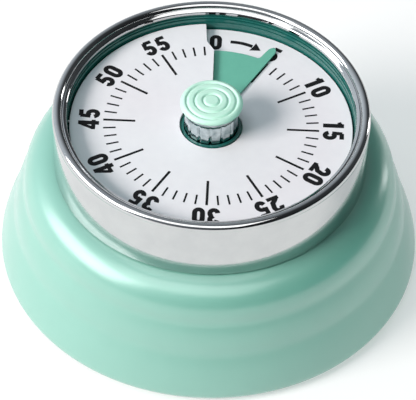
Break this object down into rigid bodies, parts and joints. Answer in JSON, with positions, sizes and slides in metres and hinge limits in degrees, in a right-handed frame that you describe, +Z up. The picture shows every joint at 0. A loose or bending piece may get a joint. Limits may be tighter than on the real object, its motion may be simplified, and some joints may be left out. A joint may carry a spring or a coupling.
{
  "type": "kitchen timer",
  "caption": "Round magnetic clockwork kitchen timer: stepped base, drum bezel, helical dial with a winding sector disc, ridged centre knob.",
  "frame": {"origin": "centre of the bottom, on the plane it stands on", "axes": "+Z up along the main arbor, +Y towards the dial's 0 mark, +X towards the 15 minute mark"},
  "size_m": [0.07, 0.07, 0.034],
  "materials": {
    "mint_lacquer": "gloss",
    "chrome": "polished",
    "mint_dark": "gloss",
    "black_plastic": "matte",
    "rubber": "matte",
    "ferrite": "matte",
    "steel": "satin",
    "dial_white": "satin",
    "brass": "satin",
    "spring_steel": "satin",
    "bell_steel": "satin",
    "white_acetal": "matte",
    "sector_green": "satin"
  },
  "bodies": {
    "case": {"base_shell": "mint_lacquer", "bezel_ring": "chrome", "upper_housing": "mint_dark", "bottom_cover": "black_plastic", "foot_ring": "rubber", "magnet": "ferrite", "magnet_keeper": "steel", "cover_screws": "steel", "dial_plate": "dial_white", "front_bush": "brass", "back_bush": "brass", "front_plate": "steel", "back_plate": "steel", "plate_pillars": "brass", "pillar_screws": "steel", "movement_screws": "steel", "mainspring": "spring_steel", "mainspring_post": "steel", "hairspring": "spring_steel", "hairspring_stud": "brass", "trip_lever_stud": "steel", "bell": "bell_steel", "bell_post": "brass", "bell_screw": "steel"},
    "knob": {"knob_cap": "mint_lacquer", "knob_body": "chrome", "main_arbor": "steel", "main_wheel": "brass", "clutch_collar": "brass", "clutch_spring": "spring_steel", "trip_cam": "white_acetal"},
    "sector": {"sector_disc": "sector_green"},
    "second": {"second_wheel": "brass", "second_arbor": "steel"},
    "third": {"third_wheel": "brass", "third_arbor": "steel"},
    "escape": {"escape_wheel": "brass", "escape_arbor": "steel"},
    "pallet": {"pallet_lever": "brass", "pallet_pins": "steel", "pallet_arbor": "steel"},
    "balance": {"balance_wheel": "brass", "balance_staff": "steel", "balance_roller": "steel"},
    "strike": {"strike_wheel": "brass", "strike_arbor": "steel"},
    "hammer": {"hammer_anchor": "steel", "hammer_arbor": "steel", "hammer_arm": "spring_steel", "hammer_head": "brass"},
    "trip": {"trip_lever": "steel"}
  },
  "joints": [
    {"name": "knob_turn", "type": "hinge", "parent": "case", "child": "knob", "pos_m": [0, 0, 0.0333], "axis": [0, 0, -1], "range_deg": [-30, 330]},
    {"name": "sector_slide", "type": "slide", "parent": "knob", "child": "sector", "axis": [0, 0, 1], "range_m": [-0.00015, 0.0012]},
    {"name": "second_wheel_turn", "type": "hinge", "parent": "case", "child": "second", "pos_m": [-0.00225, 0.01276, 0.017], "axis": [0, 0, -1], "range_deg": [-2700, 300]},
    {"name": "third_wheel_turn", "type": "hinge", "parent": "case", "child": "third", "pos_m": [0.00671, 0.01252, 0.017], "axis": [0, 0, -1], "range_deg": [-1700, 18500]},
    {"name": "escape_wheel_turn", "type": "hinge", "parent": "case", "child": "escape", "pos_m": [0.01392, 0.00905, 0.016], "axis": [0, 0, -1], "range_deg": [-129500, 11800]},
    {"name": "strike_wheel_turn", "type": "hinge", "parent": "case", "child": "strike", "pos_m": [-0.01218, -0.00443, 0.019], "axis": [0, 0, -1], "range_deg": [-2700, 300]},
    {"name": "trip_lever_rock", "type": "hinge", "parent": "case", "child": "trip", "pos_m": [0.00165, -0.00936, 0.019], "axis": [0, 0, -1], "range_deg": [-0.8, 7.8]},
    {"name": "pallet_rock", "type": "hinge", "parent": "case", "child": "pallet", "pos_m": [0.01568, 0.0048, 0.016], "axis": [0, 0, -1], "range_deg": [-5, 5]},
    {"name": "balance_swing", "type": "hinge", "parent": "case", "child": "balance", "pos_m": [0.01634, -0.00136, 0.014], "axis": [0, 0, -1], "range_deg": [-150, 150], "stiffness_Nm_per_rad": 0.000001},
    {"name": "hammer_swing", "type": "hinge", "parent": "case", "child": "hammer", "pos_m": [-0.01214, -0.00963, 0.014], "axis": [0, 0, -1], "range_deg": [-5, 5]}
  ],
  "couplings": [
    {"joint": "sector_slide", "follows": "knob_turn", "m_per_rad": 0.00020213},
    {"joint": "second_wheel_turn", "follows": "knob_turn", "ratio": -8},
    {"joint": "third_wheel_turn", "follows": "knob_turn", "ratio": 56},
    {"joint": "escape_wheel_turn", "follows": "knob_turn", "ratio": -392},
    {"joint": "strike_wheel_turn", "follows": "knob_turn", "ratio": -8},
    {"joint": "trip_lever_rock", "follows": "knob_turn", "ratio": 0.023122}
  ]
}
